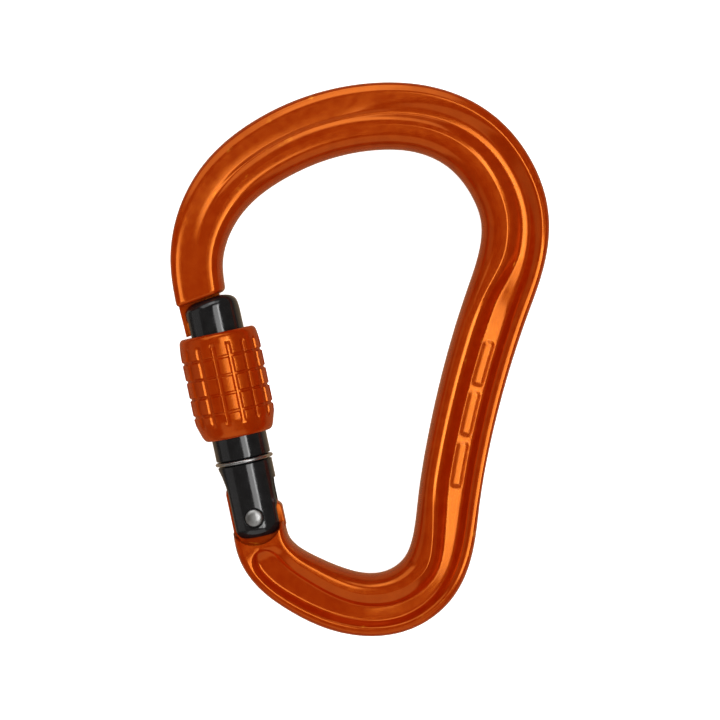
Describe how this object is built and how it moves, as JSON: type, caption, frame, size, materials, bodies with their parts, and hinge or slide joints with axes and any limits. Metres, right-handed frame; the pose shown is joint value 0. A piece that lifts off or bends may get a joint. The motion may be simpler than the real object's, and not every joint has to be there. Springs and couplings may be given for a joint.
{
  "type": "locking carabiner",
  "caption": "Pear-shaped locking carabiner: forged I-section bar, sprung hinged gate and a ribbed sleeve that slides over the nose to lock it.",
  "frame": {"origin": "under the middle of the carabiner's outline, at the height of the lowest point of the sleeve, with the carabiner lying flat", "axes": "+Y along the carabiner towards the wide rope basket, +X towards the spine, +Z square to the plane of the carabiner"},
  "size_m": [0.0765, 0.112, 0.0164],
  "materials": {
    "bar": "satin orange anodised, forged",
    "gate": "gloss black anodised",
    "sleeve": "satin orange anodised, turned",
    "rivet": "plain headed rivet",
    "ring": "bright wire",
    "spring": "spring wire",
    "plunger": "turned pin"
  },
  "bodies": {
    "bar": {"body": "bar", "hinge_rivet": "rivet"},
    "gate_arm": {"gate": "gate", "stop_ring": "ring", "gate_spring": "spring"},
    "sleeve": {"locking_sleeve": "sleeve"},
    "plunger": {"spring_plunger": "plunger"}
  },
  "joints": [
    {"name": "gate_hinge", "type": "hinge", "parent": "bar", "child": "gate_arm", "pos_m": [-0.0213, -0.0316, 0.0082], "axis": [0, 0, -1], "range_deg": [0, 30], "stiffness_Nm_per_rad": 0.28, "springref_deg": -45.84},
    {"name": "sleeve_slide", "type": "slide", "parent": "gate_arm", "child": "sleeve", "axis": [-0.2079, 0.9781, 0], "range_m": [-0.0042, 0.004]},
    {"name": "plunger_slide", "type": "slide", "parent": "gate_arm", "child": "plunger", "axis": [-0.2079, 0.9781, 0], "range_m": [0, 0.0015], "deforming": ["gate_spring"]}
  ],
  "couplings": [
    {"joint": "plunger_slide", "follows": "gate_hinge", "m_per_rad": 0.00286}
  ]
}
